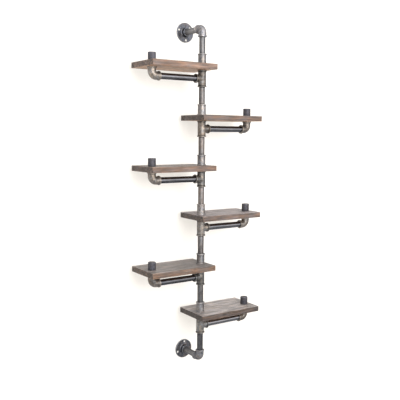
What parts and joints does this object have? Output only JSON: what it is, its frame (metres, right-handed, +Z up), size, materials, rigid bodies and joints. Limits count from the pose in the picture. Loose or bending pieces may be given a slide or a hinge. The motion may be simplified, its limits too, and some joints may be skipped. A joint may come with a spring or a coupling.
{
  "type": "wall shelf",
  "caption": "Tall wall shelf of staggered wood boards hung left and right of a vertical pipe upright, with pipe arms below the boards and round flanges to the wall.",
  "frame": {"origin": "centre of the lower wall flange's back face, on the wall plane", "axes": "+X to the right when facing the wall, +Y into the wall, +Z up along the upright"},
  "size_m": [0.458, 0.1691, 1.245],
  "materials": {
    "board": "stained and worn flat boards, grey-brown tops and redder front edges",
    "collar": "pale grey satin cast fitting",
    "tee": "grey-taupe satin cast fitting",
    "riser_pipe": "grey-taupe dull steel pipe",
    "foot_pipe": "dark grey steel pipe",
    "arm_pipe": "dark gunmetal steel pipe with a soft shine",
    "arm_elbow": "grey-taupe satin cast fitting",
    "stub_nipple": "dark steel nipple, hidden in use",
    "end_cap": "charcoal cast cap",
    "wall_elbow": "grey satin cast fitting",
    "wall_nipple": "grey steel nipple",
    "wall_flange": "dark cast flange, slightly rough, with a rusty tint at the rim"
  },
  "bodies": {
    "root": {"upper_wall_flange": "wall_flange", "upper_wall_nipple": "wall_nipple", "upper_wall_elbow": "wall_elbow", "lower_wall_flange": "wall_flange", "lower_wall_nipple": "wall_nipple", "lower_wall_elbow": "wall_elbow", "riser_pipe_1": "riser_pipe", "riser_pipe_2": "riser_pipe", "riser_pipe_3": "riser_pipe", "riser_pipe_4": "riser_pipe", "riser_pipe_5": "riser_pipe", "riser_pipe_6": "riser_pipe", "riser_pipe_7": "foot_pipe", "board_1": "board", "collar_1": "collar", "tee_1": "tee", "arm_pipe_1": "arm_pipe", "arm_elbow_1": "arm_elbow", "stub_nipple_1": "stub_nipple", "end_cap_1": "end_cap", "board_2": "board", "collar_2": "collar", "tee_2": "tee", "arm_pipe_2": "arm_pipe", "arm_elbow_2": "arm_elbow", "stub_nipple_2": "stub_nipple", "end_cap_2": "end_cap", "board_3": "board", "collar_3": "collar", "tee_3": "tee", "arm_pipe_3": "arm_pipe", "arm_elbow_3": "arm_elbow", "stub_nipple_3": "stub_nipple", "end_cap_3": "end_cap", "board_4": "board", "collar_4": "collar", "tee_4": "tee", "arm_pipe_4": "arm_pipe", "arm_elbow_4": "arm_elbow", "stub_nipple_4": "stub_nipple", "end_cap_4": "end_cap", "board_5": "board", "collar_5": "collar", "tee_5": "tee", "arm_pipe_5": "arm_pipe", "arm_elbow_5": "arm_elbow", "stub_nipple_5": "stub_nipple", "end_cap_5": "end_cap", "board_6": "board", "collar_6": "collar", "tee_6": "tee", "arm_pipe_6": "arm_pipe", "arm_elbow_6": "arm_elbow", "stub_nipple_6": "stub_nipple", "end_cap_6": "end_cap"}
  },
  "joints": []
}
